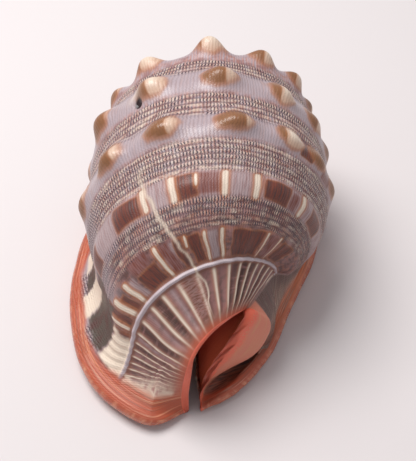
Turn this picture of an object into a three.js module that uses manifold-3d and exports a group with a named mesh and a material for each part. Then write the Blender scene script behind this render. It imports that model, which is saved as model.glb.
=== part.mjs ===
// A bullmouth helmet shell: one heavy shell of a large sea snail, resting on its flat toothed side.
// Millimetres, +Z up. +Y runs to the spire, -Y to the siphonal canal, -X to the flared outer lip and
// +X to the shield. The origin is on the ground at the middle of the shell's outline.
import * as THREE from 'three';
import { mergeVertices } from 'three/addons/utils/BufferGeometryUtils.js';
import Module from 'manifold-3d';

const wasm = await Module();
wasm.setup();

// Driving dimensions.
const AXIS_X = 7.7; // the axis that the shell coils round runs along Y
const AXIS_Z = 37;
const WALL = 4.2; // body whorl wall
const LIP_WALL = 1.7; // wall at the edge of the canal
const SLIT_HALF = 4; // half the width of the aperture slit
const SLIT_HALF_AT_NOTCH = 2.4;
const SLIT_HEIGHT = 14; // how far up the slit's walls stand
const HOLLOW_OVER_SLIT = 0.8; // the hollow's floor is this much wider than the slit on each side
const HOLLOW_HALF_AT_NOTCH = 2.3;
const SLIT_ROUND = 7; // the rolled, toothed edges of the slit
const KNOB_WIDTH = 0.136; // radians
const KNOB_BEHIND = 0.24; // stations; a knob slopes longer to the spire than to the canal
const KNOB_AHEAD = 0.18;
const KNOB_SQUARE = 1.15; // above 1 a knob is blunter than a bell
const RIM_DEPTH = 4.2; // half-round edge of the lip and of the shield
const RIM_RISE = 3.8;
const NOTCH_THIN = 0.25; // what is left of those sizes at the notch

const MOUTH = 10; // the last station
const THIN_FROM = 8.6; // the rims thin from here to the notch
const LEAF_FROM = 8; // the shield's back turns into the leaf from here to the leaf's first curve
const MOUTH_WAY = new THREE.Vector3(0, -14, 14); // the canal opens forward and up
const HOLLOW_START = 3.3; // stations
const HOLLOW_LOOPS = 15;
const HOLLOW_COLUMNS = 18;

// Guide curves. Each has one value for each spiral station, from the tip of the spire to the mouth
// of the canal: tip, spire, suture, shoulder row, second row, third row, fourth row, brown band,
// keel, middle of the fan, mouth of the canal.
const radius = [0.05, 12, 28, 43.5, 50, 50.5, 46.3, 37, 23.2, 14.8, 8.4];
const along = [77.2, 73.2, 68, 60, 33, 6, -11, -30, -36.8, -45.5, -54.2];
const drift = [0, 0, 0, -1, -0.6, 2.3, 2.7, 6.4, 8.4, 8.2, 7.4]; // forward run of a row, per radian
const growth = [0, 0, 0.03, 0.09, 0.09, 0.088, 0.095, 0.13, 0.16, 0.13, 0.11];
const bend = [0, 0, 0, 0, 0, 0, 0, 0, 0.06, 0.09, 0.108];
const rightEnd = [-2, -2, -2, -2, -2, -1.95, -1.9, -1.85, -1.72, -1.5, -1.31]; // radians
const leftEnd = [1.85, 1.85, 1.85, 1.83, 1.83, 1.82, 1.78, 1.75, 1.72, 1.68, 1.66];
const lipEdge = [
  [7, 76, 34], [-5, 73, 26], [-23, 66, 15], [-44, 50, 10], [-54.5, 25, 7], [-59, -1, 6], [-58.5, -22, 5],
  [-53.5, -46, 5], [-41, -64.5, 5], [-22, -76.5, 4.5], [-8.3, -69.6, 3],
];
const shieldEdge = [
  [9, 76, 34], [21, 73, 26], [38, 65, 17], [52, 51, 12], [55.5, 36, 8], [52, 21, 5], [47, 5, 4],
  [37, -19, 4], [28.3, -41, 4], [15, -58.8, 4], [-0.8, -68.6, 3],
];
const slit = [
  [8, 76], [5, 71], [0, 63], [-5, 49], [-9, 27], [-12, 4], [-12, -13], [-10, -33], [-8, -47], [-6, -58],
  [-4.3, -66.8],
];
const valley = [
  [8, 76, 37], [22, 73, 30], [38, 67, 26], [50, 56, 24], [52, 38, 20], [48, 18, 15], [43, -1, 14],
  [35, -19, 13], [28, -33, 12], [17, -50, 12], [8.5, -57, 20],
];
const sole = [32, 21, 9, 0, -1.2, -1.2, -1.2, -1.2, -1.2, -1, 0.5]; // underside, before it is worn flat
// The free side of the canal stands up behind the slit as a leaf. Each curve runs from the shield's
// rim through the trough and up the leaf to the crevice beside the body.
const leafStations = [8.6, 9.3, 9.65, 10];
const leaf = [
  [[19, -51, 7.5], [21.5, -47.5, 4.5], [23.5, -44.5, 4.5], [25.5, -42, 6], [27.5, -39.5, 10], [29, -36.5, 17],
    [28.5, -32.5, 27], [25, -29.5, 36]],
  [[10.5, -61.5, 7], [9, -55.5, 4.5], [10, -50.5, 4.5], [14, -46.8, 5.5], [20.8, -43.6, 9], [25, -42, 16.5],
    [26.5, -41, 27], [21, -37, 38.5]],
  [[5, -66, 6], [2.8, -60.5, 4.5], [1.6, -58.8, 8], [8.9, -55.8, 13], [18.2, -52.1, 17], [23.6, -48, 23],
    [25.5, -44.8, 33], [18, -41, 39.5]],
  [[-1, -68.2, 4], [-1.2, -65, 5], [-0.4, -61.7, 8], [2.8, -58.7, 16], [8.3, -56.1, 25],
    [13.4, -52.5, 33], [18.8, -46.7, 41], [16.2, -44.5, 39.3]],
];
// The columella, as the inner wall of the hollow: beside the slit, low, left, over the top and right.
const columella = [
  { from: [-4.2, 27, 14], to: [-1.3, -65.4, 9.5] },
  { from: [-9, 27, 36], to: [-1, -60.8, 12] },
  { from: [6, 30, 56], to: [1.9, -57.7, 18] },
  { from: [26, 28, 45], to: [8.9, -53.4, 29] },
  { from: [32, 26, 24], to: [16.2, -46.6, 39] },
];

// Rows of knobs: the station of each row, and the angle and height of each knob.
const knobRows = [
  {
    station: 3,
    knobs: [[1.62, 3], [1.22, 4.6], [0.75, 6], [0.14, 7.4], [-0.37, 5.2], [-0.8, 4.6], [-1.2, 3], [-1.6, 2.6]],
  },
  {
    station: 3.88,
    knobs: [[1.68, 2.6], [1.13, 5], [0.6, 5.4], [0.03, 5.6], [-0.5, 3.6], [-0.95, 2.6], [-1.36, 2.2]],
  },
  {
    station: 4.84,
    knobs: [[1.45, 3.4], [0.95, 4.2], [0.47, 4.2], [-0.09, 4.2], [-0.55, 2.6], [-0.93, 2.2], [-1.33, 1.8]],
  },
  { station: 6.22, knobs: [[1.42, 1.2], [0.93, 1.4], [0.3, 1.2], [-0.48, 1.2], [-0.95, 0.9]] },
];

// A value of a guide curve at a station between the given ones, by a smooth cubic.
function guide(list, station) {
  const last = list.length - 1;
  const i = Math.min(Math.max(Math.floor(station), 0), last - 1);
  const t = station - i;
  const at = (n) => list[Math.min(Math.max(n, 0), last)];
  const cubic = (a, b, c, d) =>
    b + 0.5 * t * (c - a + t * (2 * a - 5 * b + 4 * c - d + t * (3 * (b - c) + d - a)));
  const [a, b, c, d] = [at(i - 1), at(i), at(i + 1), at(i + 2)];
  if (typeof b === 'number') return cubic(a, b, c, d);
  return new THREE.Vector3(...b.map((_, k) => cubic(a[k], b[k], c[k], d[k])));
}

function smooth(low, high, value) {
  return THREE.MathUtils.smoothstep(value, low, high);
}

// A point of the body whorl: a row runs round the axis, grows and drifts forward with the angle,
// which is nought on top and positive towards the lip.
function body(station, angle, inset = 0) {
  const grown = Math.exp((guide(growth, station) + guide(bend, station) * angle) * angle);
  const r = Math.max(guide(radius, station) * grown - inset, 0);
  const y = guide(along, station) - guide(drift, station) * angle;
  return new THREE.Vector3(AXIS_X - r * Math.sin(angle), y, AXIS_Z + r * Math.cos(angle));
}

// How far the knobs lift the surface.
function lift(station, angle) {
  let height = 0;
  for (const row of knobRows) {
    const down = (station - row.station) / (station < row.station ? KNOB_BEHIND : KNOB_AHEAD);
    for (const [place, top] of row.knobs) {
      const across = (angle - place) / KNOB_WIDTH;
      height += top * Math.exp(-((across ** 2 + down ** 2) ** KNOB_SQUARE));
    }
  }
  return height;
}

// A cubic from one point and direction to another.
function flare(from, out, to, arrive, t) {
  const a = 2 * t ** 3 - 3 * t ** 2 + 1;
  const b = t ** 3 - 2 * t ** 2 + t;
  const d = t ** 3 - t ** 2;
  return new THREE.Vector3()
    .addScaledVector(from, a)
    .addScaledVector(out, b)
    .addScaledVector(to, 1 - a)
    .addScaledVector(arrive, d);
}

// The level direction that points out of the base from an edge curve.
function outward(edge, station) {
  const ahead = guide(edge, Math.min(station + 0.05, 10));
  const behind = guide(edge, Math.max(station - 0.05, 0));
  const run = ahead.sub(behind).setZ(0).normalize();
  return edge === lipEdge ? new THREE.Vector3(run.y, -run.x, 0) : new THREE.Vector3(-run.y, run.x, 0);
}

// Columns of one loop of the outside, from the crevice on the right, over the back, down the flared
// lip, under the base and up the shield.
const COLUMNS = { back: 42, flare: 7, rim: 4, face: 5, edge: 3, shieldBack: 7 };

function outerLoop(station) {
  const loop = [];
  const start = guide(rightEnd, station);
  const end = guide(leftEnd, station);
  const shelf = smooth(1.2, 3, station); // nought on the spire, which has no lip
  const thin = THREE.MathUtils.lerp(1, NOTCH_THIN, smooth(THIN_FROM, MOUTH, station));
  const span = (count, from, to, make) => {
    for (let i = 0; i < count; i += 1) {
      const around = THREE.MathUtils.lerp(from, to, i / count);
      const plain = body(station, end + around * (start + 2 * Math.PI - end));
      loop.push(plain.lerp(make(i / count), shelf));
    }
  };
  for (let i = 0; i < COLUMNS.back; i += 1) {
    const angle = THREE.MathUtils.lerp(start, end, i / COLUMNS.back);
    loop.push(body(station, angle, -lift(station, angle)));
  }

  // The flare of the lip, from the foot of the body to the rim.
  const foot = body(station, end);
  const down = body(station, end + 0.01).sub(foot).normalize();
  const top = rim(lipEdge, station, thin, Math.PI / 2);
  const reach = foot.distanceTo(top);
  const level = outward(lipEdge, station).multiplyScalar(1.1 * reach * thin).setZ(-0.35 * reach);
  span(COLUMNS.flare, 0, 0.22, (t) => flare(foot, down.clone().multiplyScalar(1.3 * reach), top, level, t));
  span(COLUMNS.rim, 0.22, 0.3, (t) => rim(lipEdge, station, thin, Math.PI * (0.5 - t)));

  // The underside, in to the slit, up its wall, and the same way out to the shield's rim.
  const sides = [[lipEdge, 0.3, 0.5], [shieldEdge, 0.7, 0.5]].map(([edge, from, to]) => {
    const under = underside(rim(edge, station, thin, -Math.PI / 2), station, thin);
    return under.map((point, i) => {
      const around = THREE.MathUtils.lerp(from, to, i / under.length);
      return body(station, end + around * (start + 2 * Math.PI - end)).lerp(point, shelf);
    });
  });
  const middle = guide(slit, station);
  const roof = new THREE.Vector3(middle.x, middle.y, slitTop(station));
  loop.push(...sides[0], body(station, end + 0.5 * (start + 2 * Math.PI - end)).lerp(roof, shelf));
  loop.push(...sides[1].reverse());

  span(COLUMNS.rim, 0.7, 0.78, (t) => rim(shieldEdge, station, thin, Math.PI * (t - 0.5)));

  const crevice = body(station, start);
  const ledge = rim(shieldEdge, station, thin, Math.PI / 2);
  span(COLUMNS.shieldBack, 0.78, 1, (t) => shieldBack(station, ledge, crevice, t));
  return loop;
}

// The back of the shield: a hollow between its rim and the body, which turns into the leaf.
function shieldBack(station, ledge, crevice, t) {
  const dip = guide(valley, station);
  const hollow = ledge.clone().lerp(dip, t).lerp(dip.clone().lerp(crevice, t), t);
  const seat = Math.max(station, leafStations[0]);
  const i = Math.min(leafStations.findLastIndex((given) => given <= seat), leafStations.length - 2);
  const place = i + (seat - leafStations[i]) / (leafStations[i + 1] - leafStations[i]);
  const curve = leaf[0].map((_, k) => guide(leaf.map((row) => row[k]), place).toArray());
  const last = curve.length - 1;
  const point = guide(curve, t * last)
    .addScaledVector(ledge.clone().sub(new THREE.Vector3(...curve[0])), (1 - t) ** 4)
    .addScaledVector(crevice.clone().sub(new THREE.Vector3(...curve[last])), t ** 4);
  return hollow.lerp(point, smooth(LEAF_FROM, leafStations[0], station));
}

// The slit ends short of the spire, so its roof comes down there.
function slitTop(station) {
  return guide(sole, station) + SLIT_HEIGHT * smooth(2.4, 3.3, station);
}

// A point of a half-round edge. A quarter turn is its top, nought its tip.
function rim(edge, station, thin, turn) {
  const tip = guide(edge, station);
  const reach = RIM_DEPTH * thin * (Math.cos(turn) - 1);
  return tip.addScaledVector(outward(edge, station), reach).setZ(tip.z + RIM_RISE * thin * Math.sin(turn));
}

// From a rim's underside: the face, the rolled edge of the slit and the slit's wall.
function underside(from, station, thin) {
  const points = [];
  const middle = guide(slit, station);
  const to = new THREE.Vector3(middle.x, middle.y, from.z);
  const width = from.distanceTo(to);
  const across = to.sub(from).normalize();
  const half = THREE.MathUtils.lerp(SLIT_HALF, SLIT_HALF_AT_NOTCH, smooth(8, MOUTH, station));
  const round = Math.min(SLIT_ROUND * thin, 0.5 * (width - half));
  const flat = width - half - round;
  const low = guide(sole, station);
  const put = (distance, height) => {
    points.push(from.clone().addScaledVector(across, distance).setZ(Math.max(height, 0)));
  };
  for (let i = 0; i < COLUMNS.face; i += 1) {
    const t = i / COLUMNS.face;
    put(t * flat, THREE.MathUtils.lerp(from.z, low, smooth(0, 0.45, t)));
  }
  for (let i = 0; i < COLUMNS.edge; i += 1) {
    const turn = (Math.PI / 2) * (i / COLUMNS.edge);
    put(flat + round * Math.sin(turn), low + round * (1 - Math.cos(turn)));
  }
  put(flat + round, low + round);
  put(flat + round, Math.max(slitTop(station) - 1, low + round));
  return points;
}

// One loop of the hollow: the outer wall from right to left, the slit, and up round the columella.
function innerLoop(station) {
  const loop = [];
  const mouth = smooth(5, 10, station);
  const wall = THREE.MathUtils.lerp(WALL, LIP_WALL, mouth);
  const start = guide(rightEnd, station) + 0.2 * (1 - mouth);
  const end = guide(leftEnd, station) + 0.1 * (1 - mouth);
  for (let i = 0; i < HOLLOW_COLUMNS; i += 1) {
    const angle = THREE.MathUtils.lerp(start, end, i / (HOLLOW_COLUMNS - 1));
    loop.push(body(station, angle, wall));
  }
  const middle = guide(slit, station);
  const half = THREE.MathUtils.lerp(SLIT_HALF + HOLLOW_OVER_SLIT, HOLLOW_HALF_AT_NOTCH, mouth);
  const floor = SLIT_HEIGHT - 3;
  loop.push(new THREE.Vector3(middle.x - half - 1 + mouth, middle.y, floor + 4));
  loop.push(new THREE.Vector3(middle.x - half, middle.y, floor));
  loop.push(new THREE.Vector3(middle.x + half, middle.y, floor));
  const back = smooth(3.5, 10, station);
  for (const { from, to } of columella) {
    loop.push(new THREE.Vector3(...from).lerp(new THREE.Vector3(...to), back));
  }
  return loop;
}

// A closed solid through loops of equal count, with a point at each end.
function loft(loops) {
  const count = loops[0].length;
  const centre = (loop) => loop.reduce((sum, p) => sum.add(p), new THREE.Vector3()).divideScalar(count);
  const points = [...loops.flat(), centre(loops[0]), centre(loops.at(-1))];
  const first = points.length - 2;
  const faces = [];
  for (let j = 0; j < count; j += 1) {
    const k = (j + 1) % count;
    for (let i = 0; i < loops.length - 1; i += 1) {
      const [a, b, c, d] = [i * count + j, i * count + k, (i + 1) * count + k, (i + 1) * count + j];
      faces.push(a, b, c, a, c, d);
    }
    const end = (loops.length - 1) * count;
    faces.push(first, k, j, first + 1, end + j, end + k);
  }
  const geometry = new THREE.BufferGeometry();
  geometry.setAttribute('position', new THREE.Float32BufferAttribute(points.flatMap((p) => p.toArray()), 3));
  geometry.setIndex(faces);
  return geometry;
}

function solid(geometry) {
  const merged = mergeVertices(geometry, 1e-4);
  return new wasm.Manifold(new wasm.Mesh({
    numProp: 3,
    vertProperties: new Float32Array(merged.attributes.position.array),
    triVerts: new Uint32Array(merged.index.array),
  }));
}

// The outside has more loops where the knobs are, the hollow is smooth and has few.
const loopsBetween = [3, 4, 4, 7, 7, 6, 5, 4, 4, 6];
const outerStations = loopsBetween.flatMap((n, i) => Array.from({ length: n }, (_, k) => i + k / n));
const outside = solid(loft([...outerStations, MOUTH].map(outerLoop)));

const hollowStations = Array.from({ length: HOLLOW_LOOPS }, (_, i) => (
  THREE.MathUtils.lerp(HOLLOW_START, MOUTH, i / (HOLLOW_LOOPS - 1))));
const hollowLoops = hollowStations.map(innerLoop);
const beyond = hollowLoops.at(-1).map((point) => point.clone().add(MOUTH_WAY));
const shellBody = outside.subtract(solid(loft([...hollowLoops, beyond])));

// The shell, set down with the middle of its outline over the origin.
const cut = shellBody.getMesh();
const geometry = new THREE.BufferGeometry();
geometry.setAttribute('position', new THREE.BufferAttribute(new Float32Array(cut.vertProperties), 3));
geometry.setIndex(new THREE.BufferAttribute(new Uint32Array(cut.triVerts), 1));
geometry.computeBoundingBox();
const middle = geometry.boundingBox.getCenter(new THREE.Vector3());
geometry.translate(-middle.x, -middle.y, -geometry.boundingBox.min.z);
geometry.computeVertexNormals();

const shell = new THREE.Mesh(
  geometry,
  new THREE.MeshStandardMaterial({ color: 0xb98a74, roughness: 0.35, metalness: 0 }),
);
shell.name = 'shell';

const group = new THREE.Group();
group.add(shell);
export default group;
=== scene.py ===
import math
import bpy
import numpy as np
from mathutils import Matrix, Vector


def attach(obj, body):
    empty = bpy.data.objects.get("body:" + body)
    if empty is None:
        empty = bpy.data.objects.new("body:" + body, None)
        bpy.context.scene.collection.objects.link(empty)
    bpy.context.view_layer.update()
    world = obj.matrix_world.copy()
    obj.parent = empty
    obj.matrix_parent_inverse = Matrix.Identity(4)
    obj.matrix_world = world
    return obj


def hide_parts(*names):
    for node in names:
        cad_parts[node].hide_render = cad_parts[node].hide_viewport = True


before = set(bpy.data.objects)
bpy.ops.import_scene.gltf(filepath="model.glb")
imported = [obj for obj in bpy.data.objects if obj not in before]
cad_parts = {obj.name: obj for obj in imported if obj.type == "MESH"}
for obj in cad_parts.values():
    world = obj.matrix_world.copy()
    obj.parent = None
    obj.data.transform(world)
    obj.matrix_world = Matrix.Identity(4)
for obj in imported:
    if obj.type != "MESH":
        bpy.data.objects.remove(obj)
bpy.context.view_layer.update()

# The body whorl, the last turn of the coil and nearly all of what shows. The animal lays it down in
# rows of knobs and cords that run round the axis, each a spiral that widens and creeps forward.

# Every list has one value for each station: tip, spire, suture, shoulder row, second, third and
# fourth row, brown band, keel, middle of the fan, mouth of the canal. Millimetres and radians.
AXIS_X, AXIS_Z = 7.7, 37.0
RADIUS = [0.05, 12, 28, 43.5, 50, 50.5, 46.3, 37, 23.2, 14.8, 8.4]
ALONG = [77.2, 73.2, 68, 60, 33, 6, -11, -30, -36.8, -45.5, -54.2]
DRIFT = [0, 0, 0, -1, -0.6, 2.3, 2.7, 6.4, 8.4, 8.2, 7.4]
GROWTH = [0, 0, 0.03, 0.09, 0.09, 0.088, 0.095, 0.13, 0.16, 0.13, 0.11]
BEND = [0, 0, 0, 0, 0, 0, 0, 0, 0.06, 0.09, 0.108]
RIGHT_END = [-2, -2, -2, -2, -2, -1.95, -1.9, -1.85, -1.72, -1.5, -1.31]
LEFT_END = [1.85, 1.85, 1.85, 1.83, 1.83, 1.82, 1.78, 1.75, 1.72, 1.68, 1.66]
KEEL, FAN, MOUTH = 8.0, 9.0, 10.0
ROWS, KEEL_CROWDING, KEEL_REACH = 222, 1.6, 0.14
ROW_DENSITY = [9, 12, 18, 30, 34, 26, 28, 22, 24, 24, 26]
BACK, FINE_STEPS = 240, 4001


def guide(values, station):
    """A value between the stations, on the cubic through the two to each side (Catmull-Rom)."""
    values = np.asarray(values, float)
    last = len(values) - 1
    i = np.clip(np.floor(station).astype(int), 0, last - 1)
    t = np.asarray(station - i)
    a, b, c, d = (values[np.clip(i + k, 0, last)] for k in (-1, 0, 1, 2))
    t = t.reshape(t.shape + (1,) * (values.ndim - 1))
    return b + 0.5 * t * (c - a + t * (2 * a - 5 * b + 4 * c - d + t * (3 * (b - c) + d - a)))


def smooth(low, high, value):
    """Nought up to low, one from high, and an S-shaped ease between."""
    t = np.clip((value - low) / (high - low), 0, 1)
    return t * t * (3 - 2 * t)


def mix(a, b, t):
    """The straight way from a to b, a share t along it."""
    return a + (b - a) * t


def unit(v):
    """Directions scaled to a length of one."""
    return v / np.maximum(np.linalg.norm(v, axis=-1, keepdims=True), 1e-9)


def whorl(station, turn, inset=0.0):
    """Radius times e to (growth times turn), round an axis along Y, with a forward drift."""
    grown = np.exp((guide(GROWTH, station) + guide(BEND, station) * turn) * turn)
    r = np.maximum(guide(RADIUS, station) * grown - inset, 0)
    y = guide(ALONG, station) - guide(DRIFT, station) * turn
    return np.stack([AXIS_X - r * np.sin(turn), y + 0 * r, AXIS_Z + r * np.cos(turn)], -1)


# Rows stand closer where the relief is finer: round the knobs, the fan and above all the keel.
fine = np.linspace(0, MOUTH, FINE_STEPS)
density = guide(ROW_DENSITY, fine) * (1 + KEEL_CROWDING * np.exp(-((fine - KEEL) / KEEL_REACH) ** 2))
counted = np.concatenate([[0], np.cumsum(0.5 * (density[1:] + density[:-1]))])
row = np.interp(np.linspace(0, counted[-1], ROWS), counted, fine)[:, None]
right_end, left_end = guide(RIGHT_END, row), guide(LEFT_END, row)
back = whorl(row, mix(right_end, left_end, np.arange(BACK) / BACK))


# The base: the flared lip to the left, the shield to the right and the slit between them, all laid
# down as thick callus and worn flat on the ground. Each edge is a curve along the stations.
LIP_EDGE = [
    (7, 76, 34), (-5, 73, 26), (-23, 66, 15), (-44, 50, 10), (-54.5, 25, 7), (-59, -1, 6),
    (-58.5, -22, 5), (-53.5, -46, 5), (-41, -64.5, 5), (-22, -76.5, 4.5), (-8.3, -69.6, 3),
]
SHIELD_EDGE = [
    (9, 76, 34), (21, 73, 26), (38, 65, 17), (52, 51, 12), (55.5, 36, 8), (52, 21, 5), (47, 5, 4),
    (37, -19, 4), (28.3, -41, 4), (15, -58.8, 4), (-0.8, -68.6, 3),
]
SLIT = [
    (8, 76), (5, 71), (0, 63), (-5, 49), (-9, 27), (-12, 4), (-12, -13), (-10, -33), (-8, -47),
    (-6, -58), (-4.3, -66.8),
]
VALLEY = [
    (8, 76, 37), (22, 73, 30), (38, 67, 26), (50, 56, 24), (52, 38, 20), (48, 18, 15), (43, -1, 14),
    (35, -19, 13), (28, -33, 12), (17, -50, 12), (8.5, -57, 20),
]
SOLE = [32, 21, 9, 0, -1.2, -1.2, -1.2, -1.2, -1.2, -1, 0.5]
SLIT_HALF, SLIT_HALF_AT_NOTCH = 4.0, 2.4
SLIT_HEIGHT, SLIT_ROUND = 14.0, 7.0
RIM_DEPTH, RIM_RISE, NOTCH_THIN = 4.2, 3.8, 0.25
LEAVE, LEAVE_AT_MOUTH, ARRIVE_OUT, ARRIVE_DOWN = 1.3, 0.8, 1.1, 0.35
THIN_FROM, LEAF_FROM = 8.6, 8.0
FLARE, RIM, FACE, EDGE, WALL, SHIELD_BACK = 26, 10, 16, 12, 4, 40

# The free side of the canal stands up behind the slit as a leaf. Four curves from the shield's rim
# up to the crevice give it: the trough beside it, its foot, its bulge and its thin edge.
LEAF_STATIONS = [8.6, 9.3, 9.65, 10]
LEAF = [
    [(19, -51, 7.5), (21.5, -47.5, 4.5), (23.5, -44.5, 4.5), (25.5, -42, 6), (27.5, -39.5, 10),
     (29, -36.5, 17), (28.5, -32.5, 27), (25, -29.5, 36)],
    [(10.5, -61.5, 7), (9, -55.5, 4.5), (10, -50.5, 4.5), (14, -46.8, 5.5), (20.8, -43.6, 9),
     (25, -42, 16.5), (26.5, -41, 27), (21, -37, 38.5)],
    [(5, -66, 6), (2.8, -60.5, 4.5), (1.6, -58.8, 8), (8.9, -55.8, 13), (18.2, -52.1, 17),
     (23.6, -48, 23), (25.5, -44.8, 33), (18, -41, 39.5)],
    [(-1, -68.2, 4), (-1.2, -65, 5), (-0.4, -61.7, 8), (2.8, -58.7, 16), (8.3, -56.1, 25),
     (13.4, -52.5, 33), (18.8, -46.7, 41), (16.2, -44.5, 39.3)],
]

shelf = smooth(1.2, 3, row)[..., None]
thin = mix(1, NOTCH_THIN, smooth(THIN_FROM, MOUTH, row))


def columns(count):
    """Shares of the way from nought up to one, one for each column of a stretch."""
    return np.arange(count)[None, :] / count


def outward(edge):
    """The level direction out of the base, square to an edge curve."""
    run = guide(edge, np.minimum(row + 0.05, MOUTH)) - guide(edge, np.maximum(row - 0.05, 0))
    run[..., 2] = 0
    side = 1 if edge is LIP_EDGE else -1
    return side * unit(np.stack([run[..., 1], -run[..., 0], 0 * run[..., 0]], -1))


def rim(edge, turn):
    """A half-round edge: a quarter turn is its top and nought its tip."""
    tip = guide(edge, row) + outward(edge) * (RIM_DEPTH * thin * (np.cos(turn) - 1))[..., None]
    tip[..., 2] += RIM_RISE * thin * np.sin(turn)
    return tip


slit_top = guide(SOLE, row) + SLIT_HEIGHT * smooth(2.4, 3.3, row)
slit_half = mix(SLIT_HALF, SLIT_HALF_AT_NOTCH, smooth(KEEL, MOUTH, row))


def underside(edge):
    """Level in from a rim's underside, round the rolled edge of the slit and up its wall."""
    start = rim(edge, np.full_like(row, -math.pi / 2))
    to = np.concatenate([guide(SLIT, row), start[..., 2:]], -1)
    width = np.linalg.norm(to - start, axis=-1)
    across = (to - start) / width[..., None]
    bend = np.minimum(SLIT_ROUND * thin, 0.5 * (width - slit_half))
    flat = width - slit_half - bend
    low = guide(SOLE, row)
    t = columns(FACE)
    turn = math.pi / 2 * columns(EDGE)
    up = np.arange(WALL)[None, :] / (WALL - 1)
    top = np.maximum(slit_top - 1, low + bend)
    distance = np.concatenate([t * flat, flat + bend * np.sin(turn), flat + bend + 0 * up], -1)
    height = np.concatenate([
        mix(start[..., 2], low, smooth(0, 0.45, t)),
        low + bend * (1 - np.cos(turn)),
        mix(low + bend, top, up),
    ], -1)
    points = start + across * distance[..., None]
    points[..., 2] = np.maximum(height, 0)
    return points


def lip_flare():
    """The cubic from the body's foot to the rim that leaves and arrives in given directions."""
    foot = whorl(row, left_end)
    leave = unit(whorl(row, left_end + 0.01) - foot)
    top = rim(LIP_EDGE, np.full_like(row, math.pi / 2))
    reach = np.linalg.norm(top - foot, axis=-1, keepdims=True)
    arrive = outward(LIP_EDGE) * ARRIVE_OUT * reach * thin[..., None]
    arrive[..., 2:] = -ARRIVE_DOWN * reach
    leave *= mix(LEAVE, LEAVE_AT_MOUTH, smooth(FAN, MOUTH, row))[..., None] * reach
    t = (columns(FLARE) + 0 * row)[..., None]
    return mix(foot, top, smooth(0, 1, t)) + leave * (t ** 3 - 2 * t * t + t) + arrive * (t ** 3 - t * t)


def shield_back():
    """A quadratic curve from the shield's rim through the valley to the crevice beside the body,
    which eases over into the leaf's four curves near the mouth of the canal."""
    top = rim(SHIELD_EDGE, np.full_like(row, math.pi / 2))
    dip, crevice = guide(VALLEY, row), whorl(row, right_end)
    t = (columns(SHIELD_BACK) + 0 * row)[..., None]
    valley = mix(mix(top, dip, t), mix(dip, crevice, t), t)
    along = np.interp(row[:, 0], LEAF_STATIONS, np.arange(len(LEAF)))
    curves = guide(np.array(LEAF, float), along)
    last = curves.shape[1] - 1
    leaf = np.swapaxes(guide(np.swapaxes(curves, 0, 1), t[0, :, 0] * last), 0, 1)
    leaf = leaf + (top - curves[:, :1]) * (1 - t) ** 4 + (crevice - curves[:, last:]) * t ** 4
    return mix(valley, leaf, smooth(LEAF_FROM, THIN_FROM, row)[..., None])


roof = np.concatenate([guide(SLIT, row), slit_top[..., None]], -1)
base = np.concatenate([
    lip_flare(),
    rim(LIP_EDGE, math.pi * (0.5 - columns(RIM))),
    underside(LIP_EDGE),
    roof,
    underside(SHIELD_EDGE)[:, ::-1],
    rim(SHIELD_EDGE, math.pi * (columns(RIM + 1)[:, 1:] - 0.5)),
    shield_back(),
], 1)
UNDER = FACE + EDGE + WALL
# Each stretch of the base, with its share of the way round on the spire, where the shell is round.
STRETCHES = [
    (FLARE, 0, 0.22), (RIM, 0.22, 0.3), (UNDER, 0.3, 0.5), (1, 0.5, 0.5), (UNDER, 0.5, 0.7),
    (RIM, 0.7, 0.78), (SHIELD_BACK, 0.78, 1),
]
share = np.concatenate([mix(low, high, columns(count)) for count, low, high in STRETCHES], 1)
plain = whorl(row, mix(left_end, right_end + 2 * math.pi, share))
outside = np.concatenate([back, mix(plain, base, shelf)], 1)
LIP_TIP = BACK + FLARE + RIM // 2
ROOF = BACK + FLARE + RIM + UNDER
SHIELD_TIP = ROOF + 1 + UNDER + RIM // 2

# The relief that grew with the shell: rows of knobs, smooth raised bands, fine cords, the keel, the
# ribs of the fan, the teeth beside the slit and the sutures of the spire.

# A knob is its turn, its height and how much of it is pale.
KNOB_ROWS = [
    (3.0, [(1.62, 3, 0.1), (1.22, 4.6, 0.2), (0.75, 6, 0.65), (0.14, 7.4, 0.75), (-0.37, 5.2, 0.5),
           (-0.8, 4.6, 0.6), (-1.2, 3, 0.5), (-1.6, 2.6, 0.4)]),
    (3.88, [(1.68, 2.6, 0.2), (1.13, 5, 0.15), (0.6, 5.4, 0.5), (0.03, 5.6, 0.35), (-0.5, 3.6, 0.6),
            (-0.95, 2.6, 0.5), (-1.36, 2.2, 0.3)]),
    (4.84, [(1.45, 3.4, 0.2), (0.95, 4.6, 0.3), (0.47, 4.6, 0.33), (-0.09, 4.6, 0.25), (-0.55, 2.6, 0.7),
            (-0.93, 2.2, 0.2), (-1.33, 1.8, 0.3)]),
    (6.22, [(1.42, 1.2, 0), (0.93, 1.4, 0), (0.3, 1.2, 0), (-0.48, 1.2, 0), (-0.95, 0.9, 0)]),
]
KNOB_WIDTH, KNOB_BEHIND, KNOB_AHEAD, KNOB_SQUARE = 0.136, 0.24, 0.18, 1.15
CAP_WIDTH, CAP_LENGTH, CAP_LEAST = 1.05, 0.22, 1.5
BANDS = [(3.0, 0.2, 0.7), (3.9, 0.2, 1.0), (4.92, 0.19, 1.1), (6.23, 0.2, 0.7)]
CORDS = [(3.32, 3.68, 4), (4.17, 4.68, 5), (5.16, 6.0, 6), (6.46, 7.04, 5)]
CORD_HEIGHT, KEEL_HEIGHT, KEEL_WIDTH, KEEL_AHEAD = 0.36, 1.1, 0.055, 0.012
RIB_TURNS = [
    -1.6, -1.33, -1.1, -0.88, -0.69, -0.5, -0.3, -0.08, 0.2, 0.48, 0.78, 1.05, 1.27, 1.5, 1.68, 1.82, 1.93,
    2.03, 2.13, 2.22, 2.31, 2.4, 2.49, 2.58, 2.67, 2.76,
]
RIB_HEIGHT, RIB_SWEEP = 0.42, 0.16
RIBLET_TURN, LEAST_GIRTH = 0.0265, 21
TOOTH_MM, TOOTH_HEIGHT, FOLDS_PER_TOOTH = 5.2, 1.8, 1.7
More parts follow.
